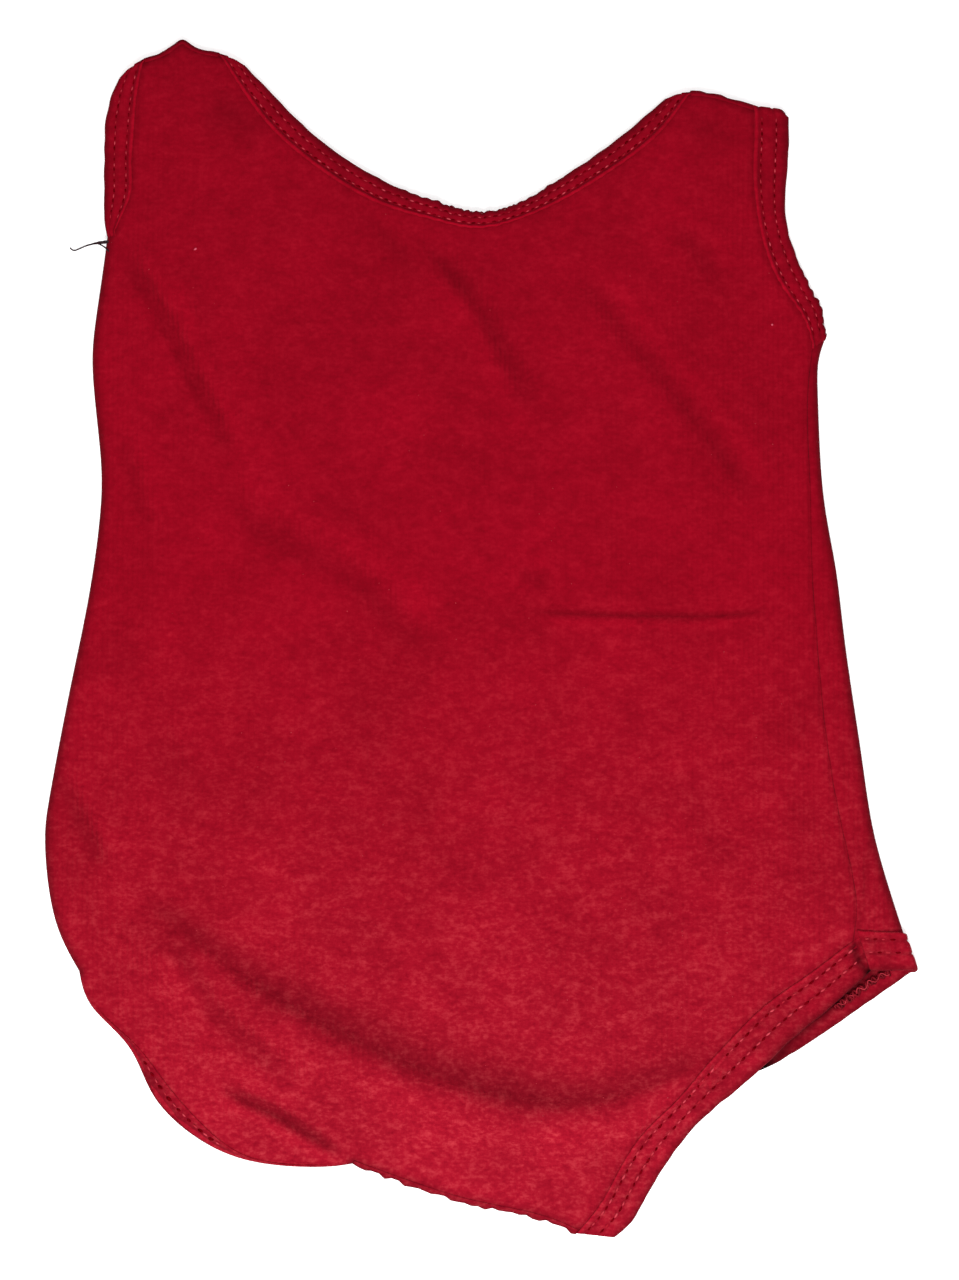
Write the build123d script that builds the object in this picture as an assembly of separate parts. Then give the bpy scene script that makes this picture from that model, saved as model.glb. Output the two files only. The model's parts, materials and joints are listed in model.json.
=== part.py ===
"""A child's sleeveless gymnastics leotard, laid flat on a table as it is stored.

Millimetres. +X is the wearer's left, +Y runs from the crotch to the shoulders, +Z points up from
the table. The origin is the centre of the footprint, on the table.

The garment is a flattened tube of thin knit. The back panel lies on the table and wraps up over
the +X edge; the front panel is domed over it and wraps down under the -X edge, so neither side
seam lies on the outline. Each opening is finished with a folded binding that holds elastic.
Every outline below runs anticlockwise round the garment, with the cloth on its left.
"""

from build123d import *
import math
import os

os.makedirs("parts", exist_ok=True)

# ---- driving dimensions ----
KNIT = 0.8               # thickness of the jersey
LEAF = 0.7               # thickness of each leaf of a binding, outside the jersey
BINDING = 2 * LEAF + KNIT
FOLD_SHARE = 0.07        # the folded edge of a binding, as a share of its width
ELASTIC = 0.7            # thickness of the elastic
ELASTIC_SHARE = (0.08, 0.70)   # where it lies across the width of a binding
RING_ELASTIC = (0.10, 0.52)    # and across the rolled binding of the right leg
MARGIN = (KNIT - ELASTIC) / 2  # its play between the leaves
LAP_SHARE = 0.74         # how far into the binding the edge of a panel reaches
DOME_TOP = 12.0          # height of the front panel along the middle
DOME_RADIUS = 2400.0     # radius of its curve across the body
OVERSHOOT = 3.0          # how far a strip that is trimmed to an outline starts beyond it
REACH_X = 156.0          # half width and half length of the construction solids
REACH_Y = 215.0
UNDERLAP = 9.0           # from the -X edge to the side seam that lies underneath
SEAM_WIDTH = 5.0         # an overlocked seam allowance
SEAM_THICK = 1.2
LINING = 0.6             # thickness of the gusset lining
LABEL = (22.0, 14.0, 0.35)
LABEL_AT = (-2.0, 124.0)
STITCH = (0.55, 0.3)     # width and height of a needle stitch
STITCH_SHARE = 0.62      # the part of each pitch that the stitch takes up
LEG_PITCH = 4.7
LEG_ROWS = (0.45, 0.80)  # the stitch rows, as shares of the binding's width
SMALL_PITCH = 3.5
SMALL_ROWS = (0.40, 0.86)
THREAD_RADIUS = 0.25     # of the loose thread at the armhole

# ---- outlines of the openings: the fold is the garment's edge, the inner line is the other edge
# of the binding. The two lines of a binding have matching points.
NECK_FOLD = [(65.7, 188.6), (58, 182), (46.6, 172.5), (27.3, 159.2), (12, 150.6), (-1, 147.9),
             (-14.8, 151), (-34.2, 158.8), (-55.5, 172.5), (-70, 186.3), (-83.5, 200.4)]
NECK_INNER = [(72.4, 189.3), (63.5, 176.8), (51.5, 166.3), (31.3, 153.4), (13.8, 145.4),
              (-1.2, 142.1), (-16.5, 144.9), (-37.5, 151.5), (-61.3, 166.5), (-76.5, 181.3),
              (-90.5, 202.7)]
RIGHT_ARM_FOLD = [(-123.6, 196.4), (-127.7, 187.7), (-129.8, 177), (-130.1, 165), (-130.1, 154),
                  (-130.1, 146), (-129.2, 139.5)]
RIGHT_ARM_INNER = [(-116.4, 200.8), (-118.6, 188), (-119.6, 176), (-120.4, 164.9),
                   (-120.4, 155.5), (-122.8, 148.5), (-126.9, 139.9)]
LEFT_ARM_FOLD = [(119.2, 104.5), (117.9, 113.5), (112.5, 124.5), (107.3, 137.1), (105, 149),
                 (105.5, 160), (106.2, 172), (106.2, 183)]
LEFT_ARM_INNER = [(114.6, 101), (111, 111.5), (104.2, 121.3), (98.6, 133), (95.2, 147),
                  (93.8, 160.2), (94.1, 171), (94.4, 184.3)]
LEFT_LEG_FOLD = [(46, -206.3), (52.1, -200.8), (57.5, -191.5), (65.9, -178), (76.2, -165.6),
                 (86.6, -156.6), (96.3, -148.4), (108, -137.3), (120.1, -127.3), (134.4, -115),
                 (150.4, -113.6)]
LEFT_LEG_INNER = [(33, -204.8), (40.3, -195.6), (46.2, -185.3), (55.3, -170.5), (67.5, -158.3),
                  (77.3, -147), (87.5, -136), (98.2, -125.6), (111.8, -116), (128.5, -103.5),
                  (146, -100.7)]
LEFT_LEG_BACK_FOLD = [(43.5, -206), (49.6, -199.6), (54.6, -189.8), (63.2, -176), (73.6, -163.4),
                      (85, -153.6), (98, -148.3), (115.9, -137.7), (133, -126), (150.4, -113.6)]
LEFT_LEG_BACK_INNER = [(35, -205.05), (38, -193.8), (43.6, -183.6), (52.6, -168.6),
                       (64.6, -156.2), (77, -143.4), (90, -135), (109, -125.3), (126, -113.5),
                       (146, -100.7)]
# The right leg's binding is rolled under: its upper edge shows on top, the rest is underneath.
RIGHT_LEG_EDGE = [(-139, -114.5), (-134.9, -126.3), (-121.9, -140.6), (-113.2, -157.7),
                  (-96.7, -173.2), (-76.9, -180.8), (-53.1, -182.2), (-44.2, -181.1)]
RIGHT_LEG_TOP = [(-136.4, -113.8), (-132.8, -124.5), (-120, -138.6), (-107.9, -154),
                 (-92.8, -170.4), (-76.3, -178.2), (-53.1, -179.6), (-43.84, -178.5)]
RIGHT_LEG_FOLD = [(-129.5, -112), (-127, -121), (-114.5, -135.4), (-106, -152.6), (-92.4, -165.3),
                  (-75, -172), (-53, -173.2), (-43.2, -172.3)]
RIGHT_LEG_BACK_FOLD = [(-129.5, -112), (-113, -115.5), (-101, -128.5), (-92, -142), (-83, -151.5),
                       (-72, -158.5), (-58, -162), (-43.2, -172.3)]
RIGHT_LEG_BACK_INNER = [(-136, -100.5), (-109.5, -101.5), (-91.5, -119), (-81.5, -133),
                        (-74, -141.5), (-65.5, -147), (-54.5, -149.5), (-41, -158)]

# ---- outlines of the rest ----
RIGHT_SHOULDER = [(-90.5, 202.7), (-99.7, 205.1), (-103.2, 207.2), (-108.3, 203.9),
                  (-116.4, 200.8)]
LEFT_SHOULDER = [(94.4, 184.3), (84.9, 187.3), (76.9, 189.1), (72.4, 189.3)]
RIGHT_SIDE = [(-129.2, 139.5), (-131.3, 124), (-133.7, 107), (-134.3, 93), (-132.1, 69),
              (-131.4, 48.3), (-135.9, 13.8), (-141.5, -13.8), (-149.4, -55.2), (-150.8, -70),
              (-147.3, -96.6), (-139, -114.5)]
LEFT_SIDE = [(146, -100.7), (138.3, -76.2), (134.6, -60), (131.3, -37.6), (125.9, -0.7),
             (122.7, 25), (118.5, 50), (116.6, 82.8), (116.8, 96.6), (119.2, 104.5)]
LEFT_SEAM = [(128.5, -103.5), (129.4, -89), (124.4, -63.5), (118.8, -30), (116, 0), (114.2, 27.6),
             (113.6, 55), (112.6, 82.8), (114.6, 101)]
CROTCH = [(-44.2, -181.1), (-27.9, -187), (-9, -193.2), (6.6, -196.7), (21.4, -200.1),
          (33, -204.8)]
CORNER = (-44.2, -180)    # where the right leg meets the crotch seam: the front panel stops short of it
GUSSET_ENDS = ([(-36, -173), (-6, -184.5), (26, -194)], [(62, -150), (20, -134), (-36, -134)])
GUSSET_LEG = [(26, -194), (38, -184), (49, -167), (62, -150)]

# The loose thread runs from between the layers out through the side at the armhole and down.
THREAD = [(-121, 116, 4.3), (-123.6, 125, 4.4), (-127, 133, 4.1), (-131.6, 137.2, 3.1),
          (-135.6, 137, 1.3), (-138.9, 135.6, 0.36), (-141.4, 134.6, 0.3), (-142.4, 135.9, 0.4)]


# ---- helpers ----
def curve(points):
    """A smooth curve through the points."""
    return Spline(*[Vector(p[0], p[1], 0) for p in points])


def part_of(points, first, last, steps=8):
    """The stretch of a curve between two shares of its length, as points."""
    path = curve(points)
    steps = 1 if len(points) == 2 else steps
    stretch = [path @ (first + (last - first) * i / steps) for i in range(steps + 1)]
    return [(p.X, p.Y) for p in stretch]


def shifted(points, distance):
    """A curve moved square to itself, to its left, by that distance."""
    path = curve(points)
    steps = 2 * len(points)
    moved = []
    for i in range(steps + 1):
        along = path % (i / steps)
        at = path @ (i / steps)
        moved.append((at.X - along.Y * distance, at.Y + along.X * distance))
    return moved


def mixed(fold, inner, share):
    """The line that lies that share of the way from a binding's fold to its inner line."""
    return [(a[0] + (b[0] - a[0]) * share, a[1] + (b[1] - a[1]) * share)
            for a, b in zip(fold, inner, strict=True)]


def region(*outlines):
    """The flat face inside these curves, taken in order; straight lines close any gap."""
    edges = []
    for i, points in enumerate(outlines):
        after = outlines[(i + 1) % len(outlines)]
        edges.append(curve(points) if len(points) > 2 else Line(points[0], points[1]))
        if (Vector(*points[-1]) - Vector(*after[0])).length > 1e-4:
            edges.append(Line(points[-1], after[0]))
    return make_face(Wire(edges))


def band(fold, inner, near=0.0, far=1.0):
    """The flat face of a binding, or of the share of its width from near to far."""
    return region(mixed(fold, inner, near), mixed(fold, inner, far)[::-1])


def beside(points, near, far):
    """The flat face between two distances to the left of a curve."""
    start = shifted(points, near) if near else points
    return region(start, shifted(points, far)[::-1])


def prism(face, low, high):
    return extrude(Pos(0, 0, low) * face, high - low, dir=(0, 0, 1))


def dome_line(offset):
    """The front panel's outer face, seen along Y and moved outward by that offset."""
    centre = DOME_TOP - DOME_RADIUS
    radius = DOME_RADIUS + offset
    side = centre + (radius**2 - REACH_X**2) ** 0.5
    return [(-REACH_X, side), (0, centre + radius), (REACH_X, side)]


def across(*edges):
    """A solid as long as the garment, from a face drawn in X and Z."""
    face = make_face(Wire([Plane.XZ * edge for edge in edges]))
    return extrude(face, REACH_Y, both=True)


def on_dome(face, low, high):
    """The layer over that face between two offsets of the front panel's outer face."""
    lower = dome_line(low)
    upper = dome_line(high)
    shell = across(ThreePointArc(*lower), Line(lower[2], upper[2]), ThreePointArc(*upper),
                   Line(upper[0], lower[0]))
    return shell & prism(face, -1, DOME_TOP + 9)


def wall(face, floor, high):
    """Everything over that face from the floor up to an offset of the front panel's outer face."""
    upper = dome_line(high)
    ends = [(-REACH_X, floor), (REACH_X, floor)]
    under = across(Line(*ends), Line(ends[1], upper[2]), ThreePointArc(*upper),
                   Line(upper[0], ends[0]))
    return under & prism(face, -1, DOME_TOP + 9)


def rim(points, near, far):
    """As beside, but overshooting both ends and, when near is 0, the outline: to be trimmed by a face."""
    path = curve(points)
    before = path @ 0 - path % 0 * OVERSHOOT
    after = path @ 1 + path % 1 * OVERSHOOT
    lengthened = [(before.X, before.Y), *points, (after.X, after.Y)]
    return beside(lengthened, near or -OVERSHOOT, far)


def tape(top, bottom, ends, shares, inset, thick):
    """A band that goes round an opening: over the top bindings, the bottom one and the ends.

    shares is its part of a binding's width, inset is how far it lies below the binding's outer
    face, and the ends are the lines along which it turns from one layer to the other.
    """
    high = LEAF - inset
    top_face = band(*top, *shares)
    bottom_face = band(*bottom, *shares)
    loop = on_dome(top_face, high - thick, high) + prism(bottom_face, inset, inset + thick)
    for end in ends:
        turn = rim(end, inset, inset + thick) & top_face & bottom_face
        loop += wall(turn, inset, high)
    return loop


def binding_and_elastic(*opening):
    """The folded binding of an opening, hollow where the panels and the elastic go, and the elastic."""
    channel = tape(*opening, (FOLD_SHARE, 1), LEAF, KNIT)
    elastic = tape(*opening, ELASTIC_SHARE, LEAF + MARGIN, ELASTIC)
    return tape(*opening, (0, 1), 0, BINDING) - channel, elastic


def dashes(line, pitch, first=0.0, last=1.0):
    """A row of stitches along a line, as flat faces."""
    path = curve(line)
    count = int(path.length * (last - first) / pitch)
    row = []
    for i in range(count):
        at = first + (last - first) * (i + 0.5) / count
        turn = Vector(1, 0, 0).get_signed_angle(path % at, Vector(0, 0, 1))
        centre = path @ at
        row.append(Pos(centre.X, centre.Y, 0) * Rot(0, 0, turn) * Rectangle(pitch * STITCH_SHARE, STITCH[0]))
    return row


def rows(fold, inner, shares, pitch, first=0.0, last=1.0):
    """The rows of stitches of one binding, on its upper face."""
    row = []
    for share in shares:
        row += dashes(mixed(fold, inner, share), pitch, first, last)
    return row


def sewn(row):
    """A row of stitches standing on the upper faces of the front bindings."""
    return on_dome(Sketch() + row, LEAF, LEAF + STITCH[1])


def cord(points, radius):
    """A round thread whose bends each use up to 0.45 of the shorter run beside them."""
    vectors = [Vector(*p) for p in points]
    bends = []
    for before, at, after in zip(vectors, vectors[1:], vectors[2:]):
        half_turn = math.radians((at - before).get_angle(after - at)) / 2
        run = min((at - before).length, (after - at).length)
        bends.append(0.45 * run / math.tan(half_turn))
    path = FilletPolyline(*vectors, radius=bends)
    return sweep(Plane(origin=path @ 0, z_dir=path % 0) * Circle(radius), path=path)


def save(shape, name):
    biggest = max(solid.volume for solid in shape.solids())
    solids = [solid for solid in shape.solids() if solid.volume > biggest / 50]
    shape = solids[0] if len(solids) == 1 else Compound(children=solids)
    export_step(shape, f"parts/{name}.step")


# ---- bindings and elastic: the neck, the armholes and the left leg ----
neck = (NECK_FOLD, NECK_INNER)
right_arm = (RIGHT_ARM_FOLD, RIGHT_ARM_INNER)
left_arm = (LEFT_ARM_FOLD, LEFT_ARM_INNER)
left_leg = (LEFT_LEG_FOLD, LEFT_LEG_INNER)
left_leg_back = (LEFT_LEG_BACK_FOLD, LEFT_LEG_BACK_INNER)

bindings = {}
elastics = {}
for name, top, bottom, ends in [
    ("neck", neck, neck, [(NECK_INNER[0], NECK_FOLD[0]), (NECK_FOLD[-1], NECK_INNER[-1])]),
    ("right_armhole", right_arm, right_arm,
     [(RIGHT_ARM_INNER[0], RIGHT_ARM_FOLD[0]), part_of(RIGHT_ARM_FOLD, 0.84, 1)]),
    ("left_armhole", left_arm, left_arm,
     [part_of(LEFT_ARM_FOLD, 0, 0.12), (LEFT_ARM_FOLD[-1], LEFT_ARM_INNER[-1])]),
    ("left_leg", left_leg, left_leg_back,
     [(LEFT_LEG_INNER[0], LEFT_LEG_FOLD[0]), (LEFT_LEG_FOLD[-1], LEFT_LEG_INNER[-1])]),
]:
    bindings[name], elastics[name] = binding_and_elastic(top, bottom, ends)


# ---- the right leg's binding: a ring on the table, turned up at the edge and over the top ----
def leg_hole(share):
    """The right leg's opening, grown by that share of its binding's width."""
    front = mixed(RIGHT_LEG_FOLD, RIGHT_LEG_EDGE, share)
    back = mixed(RIGHT_LEG_BACK_FOLD, RIGHT_LEG_BACK_INNER, share)
    return region(front, back[::-1])


leg_ring = region(RIGHT_LEG_EDGE, RIGHT_LEG_BACK_INNER[::-1], [(-136, -100.5), (-145.4, -102)])
upright = [rim(RIGHT_LEG_EDGE, near, far) & leg_ring
           for near, far in ((0, BINDING), (0, LEAF), (LEAF, LEAF + KNIT))]
ring = prism(leg_ring - leg_hole(0), 0, BINDING) + wall(upright[0], 0, LEAF)
ring += on_dome(band(RIGHT_LEG_EDGE, RIGHT_LEG_TOP) & leg_ring, LEAF - BINDING, LEAF)
ring -= prism(leg_ring - leg_hole(FOLD_SHARE) - upright[1], LEAF, LEAF + KNIT)
ring -= wall(upright[2], LEAF, 0)
bindings["right_leg"] = ring
flat_loop = leg_hole(RING_ELASTIC[1]) - leg_hole(RING_ELASTIC[0])
elastics["right_leg"] = prism(flat_loop, LEAF + MARGIN, LEAF + MARGIN + ELASTIC)

# ---- panels ----
neck_lap = mixed(*neck, LAP_SHARE)
right_arm_lap = mixed(*right_arm, LAP_SHARE)
left_arm_lap = mixed(*left_arm, LAP_SHARE)
left_leg_lap = mixed(*left_leg, LAP_SHARE)
left_leg_back_lap = mixed(*left_leg_back, LAP_SHARE)
right_leg_back_lap = mixed(RIGHT_LEG_BACK_FOLD, RIGHT_LEG_BACK_INNER, LAP_SHARE)
footprint = region(NECK_FOLD, RIGHT_SHOULDER, RIGHT_ARM_FOLD, RIGHT_SIDE, RIGHT_LEG_EDGE, CROTCH,
                   LEFT_LEG_BACK_FOLD, LEFT_SIDE, LEFT_ARM_FOLD, LEFT_SHOULDER)
underlap = rim(RIGHT_SIDE, 0, UNDERLAP)

front_face = region(neck_lap, RIGHT_SHOULDER, right_arm_lap, RIGHT_SIDE,
                    mixed(RIGHT_LEG_EDGE, RIGHT_LEG_TOP, LAP_SHARE), CROTCH,
                    left_leg_lap[:-1], LEFT_SEAM, left_arm_lap, LEFT_SHOULDER)
front_panel = on_dome(front_face, -KNIT, 0)
front_panel += wall(rim(RIGHT_SIDE, 0, KNIT) & footprint, LEAF, 0)
front_panel += prism(underlap & footprint, LEAF, LEAF + KNIT)

back_face = region(neck_lap, RIGHT_SHOULDER, right_arm_lap, RIGHT_SIDE, RIGHT_LEG_EDGE, CROTCH,
                   left_leg_back_lap, LEFT_SIDE, left_arm_lap, LEFT_SHOULDER)
back_face = back_face - region(RIGHT_LEG_EDGE, right_leg_back_lap[::-1]) - underlap
back_panel = prism(back_face, LEAF, LEAF + KNIT)
wrapped = region(left_leg_lap[-2:], LEFT_SIDE, LEFT_SEAM[::-1])
back_panel += on_dome(wrapped, -KNIT, 0)
for outline in (LEFT_SIDE, RIGHT_SHOULDER, LEFT_SHOULDER, CROTCH):
    back_panel += wall(rim(outline, 0, KNIT) & footprint, LEAF, 0)

thread = cord(THREAD, THREAD_RADIUS)
for piece in [*bindings.values(), *elastics.values()]:
    back_panel -= piece
    front_panel -= piece
front_panel -= back_panel
front_panel -= thread
front_panel -= Pos(*CORNER, 0) * Box(1.8, 6, 60)

# ---- seam allowances, lining and label, on the inside ----
inside = LEAF + KNIT
seams = {
    "left_side": on_dome(beside(LEFT_SEAM, 0, SEAM_WIDTH), -KNIT - SEAM_THICK, -KNIT),
    "right_side": prism(beside(RIGHT_SIDE, UNDERLAP, UNDERLAP + SEAM_WIDTH), inside, inside + SEAM_THICK),
    "left_shoulder": on_dome(beside(LEFT_SHOULDER, KNIT, KNIT + SEAM_WIDTH), -KNIT - SEAM_THICK, -KNIT),
    "right_shoulder": on_dome(beside(RIGHT_SHOULDER, KNIT, KNIT + SEAM_WIDTH), -KNIT - SEAM_THICK, -KNIT),
    "crotch": prism(beside(CROTCH, KNIT + MARGIN, SEAM_WIDTH), inside, inside + SEAM_THICK),
}
for name, seam in seams.items():
    for piece in [*bindings.values(), *elastics.values(), back_panel, front_panel]:
        seam -= piece
    seams[name] = seam

gusset_face = region(GUSSET_ENDS[0], GUSSET_LEG, GUSSET_ENDS[1])
gusset_lining = prism(gusset_face, inside, inside + LINING) - seams["crotch"]
for piece in bindings.values():
    gusset_lining -= piece
care_label = Pos(*LABEL_AT, inside + LABEL[2] / 2) * Box(*LABEL)

# ---- needle stitches on the upper faces ----
stitching = {
    "neck": rows(NECK_FOLD, NECK_INNER, SMALL_ROWS, SMALL_PITCH, 0.02, 0.98),
    "right_armhole": rows(RIGHT_ARM_FOLD, RIGHT_ARM_INNER, SMALL_ROWS, SMALL_PITCH, 0.04, 0.94),
    "left_armhole": rows(LEFT_ARM_FOLD, LEFT_ARM_INNER, SMALL_ROWS, SMALL_PITCH, 0.02, 0.98),
    "left_leg": rows(LEFT_LEG_FOLD, LEFT_LEG_INNER, LEG_ROWS, LEG_PITCH, 0.01, 0.98),
    "right_leg": rows(RIGHT_LEG_EDGE, RIGHT_LEG_TOP, (0.55,), LEG_PITCH, 0.15, 0.65),
}

# ---- files ----
save(front_panel, "front_panel")
save(back_panel, "back_panel")
save(gusset_lining, "gusset_lining")
save(care_label, "care_label")
save(thread, "loose_thread")
for name, shape in bindings.items():
    save(shape, f"{name}_binding")
for name, shape in elastics.items():
    save(shape, f"{name}_elastic")
for name, shape in seams.items():
    save(shape, f"{name}_seam")
for name, row in stitching.items():
    save(sewn(row), f"{name}_stitching")
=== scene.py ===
"""The look of a child's gymnastics leotard lying flat: knit panels, folded bindings, stitches, thread.

Lengths in the working functions are millimetres; every mesh is scaled to metres when it is made.
"""
import bpy
import json
import math
from collections import namedtuple
import numpy as np
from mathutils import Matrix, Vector
from mathutils.geometry import delaunay_2d_cdt

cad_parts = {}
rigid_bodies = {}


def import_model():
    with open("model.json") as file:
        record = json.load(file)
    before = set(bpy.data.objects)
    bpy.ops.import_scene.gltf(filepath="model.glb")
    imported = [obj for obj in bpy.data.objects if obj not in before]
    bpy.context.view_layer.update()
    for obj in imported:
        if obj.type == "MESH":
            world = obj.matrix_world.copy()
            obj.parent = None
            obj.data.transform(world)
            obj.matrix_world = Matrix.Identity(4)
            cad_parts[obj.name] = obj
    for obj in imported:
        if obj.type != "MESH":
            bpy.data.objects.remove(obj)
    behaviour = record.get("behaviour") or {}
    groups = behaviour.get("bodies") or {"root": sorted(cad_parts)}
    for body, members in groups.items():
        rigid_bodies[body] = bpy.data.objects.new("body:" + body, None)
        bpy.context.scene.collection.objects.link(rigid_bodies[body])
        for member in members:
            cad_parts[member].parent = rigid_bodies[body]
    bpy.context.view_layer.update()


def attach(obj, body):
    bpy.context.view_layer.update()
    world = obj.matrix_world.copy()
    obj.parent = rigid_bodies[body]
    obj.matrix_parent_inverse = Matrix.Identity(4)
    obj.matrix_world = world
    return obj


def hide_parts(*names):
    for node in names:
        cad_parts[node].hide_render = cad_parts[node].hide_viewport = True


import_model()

# ======== outlines, as in the CAD
NECK_FOLD = [(65.7, 188.6), (58, 182), (46.6, 172.5), (27.3, 159.2), (12, 150.6), (-1, 147.9),
    (-14.8, 151), (-34.2, 158.8), (-55.5, 172.5), (-70, 186.3), (-83.5, 200.4)]
NECK_INNER = [(72.4, 189.3), (63.5, 176.8), (51.5, 166.3), (31.3, 153.4), (13.8, 145.4), (-1.2, 142.1),
    (-16.5, 144.9), (-37.5, 151.5), (-61.3, 166.5), (-76.5, 181.3), (-90.5, 202.7)]
RIGHT_ARM_FOLD = [(-123.6, 196.4), (-127.7, 187.7), (-129.8, 177), (-130.1, 165), (-130.1, 154),
    (-130.1, 146), (-129.2, 139.5)]
RIGHT_ARM_INNER = [(-116.4, 200.8), (-118.6, 188), (-119.6, 176), (-120.4, 164.9), (-120.4, 155.5),
    (-122.8, 148.5), (-126.9, 139.9)]
LEFT_ARM_FOLD = [(119.2, 104.5), (117.9, 113.5), (112.5, 124.5), (107.3, 137.1), (105, 149), (105.5, 160),
    (106.2, 172), (106.2, 183)]
LEFT_ARM_INNER = [(114.6, 101), (111, 111.5), (104.2, 121.3), (98.6, 133), (95.2, 147), (93.8, 160.2),
    (94.1, 171), (94.4, 184.3)]
LEFT_LEG_FOLD = [(46, -206.3), (52.1, -200.8), (57.5, -191.5), (65.9, -178), (76.2, -165.6),
    (86.6, -156.6), (96.3, -148.4), (108, -137.3), (120.1, -127.3), (134.4, -114.5)]
LEFT_LEG_INNER = [(33, -204.8), (40.3, -195.6), (46.2, -185.3), (55.3, -170.5), (67.5, -158.3),
    (77.3, -147), (87.5, -136), (98.2, -125.6), (111.8, -116), (128.5, -103.5)]
LEFT_HIP_FOLD = [(150.4, -113.8), (142, -114), (134.2, -113.8)]
LEFT_HIP_INNER = [(146, -100.9), (138, -100.6), (129.6, -100)]
HIP_SHADOW = [(146, -115.2), (140, -115.6), (134.6, -114.9), (130.2, -110.5), (128.2, -104)]
LEFT_LEG_BACK_FOLD = [(43.5, -206), (49.6, -199.6), (54.6, -189.8), (63.2, -176), (73.6, -163.4),
    (85, -153.6), (98, -148.3), (115.9, -137.7), (133, -126), (150.4, -113.8)]
LEFT_LEG_BACK_INNER = [(35, -205.05), (38, -193.8), (43.6, -183.6), (52.6, -168.6), (64.6, -156.2),
    (77, -143.4), (90, -135), (109, -125.3), (127, -113.5), (146, -100.9)]
RIGHT_LEG_EDGE = [(-139, -114.5), (-134.9, -126.3), (-121.9, -140.6), (-113.2, -157.7), (-96.7, -173.2),
    (-76.9, -180.8), (-53.1, -182.2), (-44.2, -181.1)]
RIGHT_LEG_TOP = [(-138, -114.3), (-134.2, -125.6), (-120.3, -138.8), (-107.9, -154), (-92.8, -170.4),
    (-76.5, -179.8), (-53.1, -181.6), (-44.1, -180.5)]
RIGHT_LEG_FOLD = [(-129.5, -112), (-127, -121), (-114.5, -135.4), (-106, -152.6), (-92.4, -165.3),
    (-75, -172), (-53, -173.2), (-43.2, -172.3)]
RIGHT_LEG_BACK_FOLD = [(-129.5, -112), (-113, -115.5), (-101, -128.5), (-92, -142), (-83, -151.5),
    (-72, -158.5), (-58, -162), (-43.2, -172.3)]
RIGHT_LEG_BACK_INNER = [(-136, -100.5), (-109.5, -101.5), (-91.5, -119), (-81.5, -133), (-74, -141.5),
    (-65.5, -147), (-54.5, -149.5), (-41, -158)]
RIGHT_SHOULDER = [(-90.5, 202.7), (-99.7, 205.1), (-103.2, 207.2), (-108.3, 203.9), (-116.4, 200.8)]
LEFT_SHOULDER = [(94.4, 184.3), (84.9, 187.3), (76.9, 189.1), (72.4, 189.3)]
RIGHT_SIDE = [(-129.2, 139.5), (-131.3, 124), (-133.7, 107), (-134.3, 93), (-132.1, 69), (-131.4, 48.3),
    (-135.9, 13.8), (-141.5, -13.8), (-149.4, -55.2), (-150.8, -70), (-147.3, -96.6), (-139, -114.5)]
LEFT_SIDE = [(146, -100.9), (138.3, -76.2), (134.6, -60), (131.3, -37.6), (125.9, -0.7), (122.7, 25),
    (118.5, 50), (116.6, 82.8), (116.8, 96.6), (119.2, 104.5)]
LEFT_SEAM = [(128.5, -103.5), (129.4, -89), (124.4, -63.5), (118.8, -30), (116, 0), (114.2, 27.6),
    (113.6, 55), (112.9, 82.8), (114.6, 101)]
CROTCH = [(-44.2, -181.1), (-27.9, -187), (-9, -193.2), (6.6, -196.7), (21.4, -200.1), (33, -204.8)]
THREAD = [(-121, 116, 4.3), (-123.6, 125, 4.4), (-127, 133, 4.1), (-131.6, 137.2, 3.1),
    (-135.6, 137, 1.3), (-138.9, 135.6, 0.36), (-141.4, 134.6, 0.3), (-142.4, 135.9, 0.4)]

# ======== folds of the cloth
# A fold's dark is how much shade is painted along its valley, with about a third as much light painted on
# its ridge; a negative dark swaps them.
Fold = namedtuple("Fold", "points depth width lift side dark fade")

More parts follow.
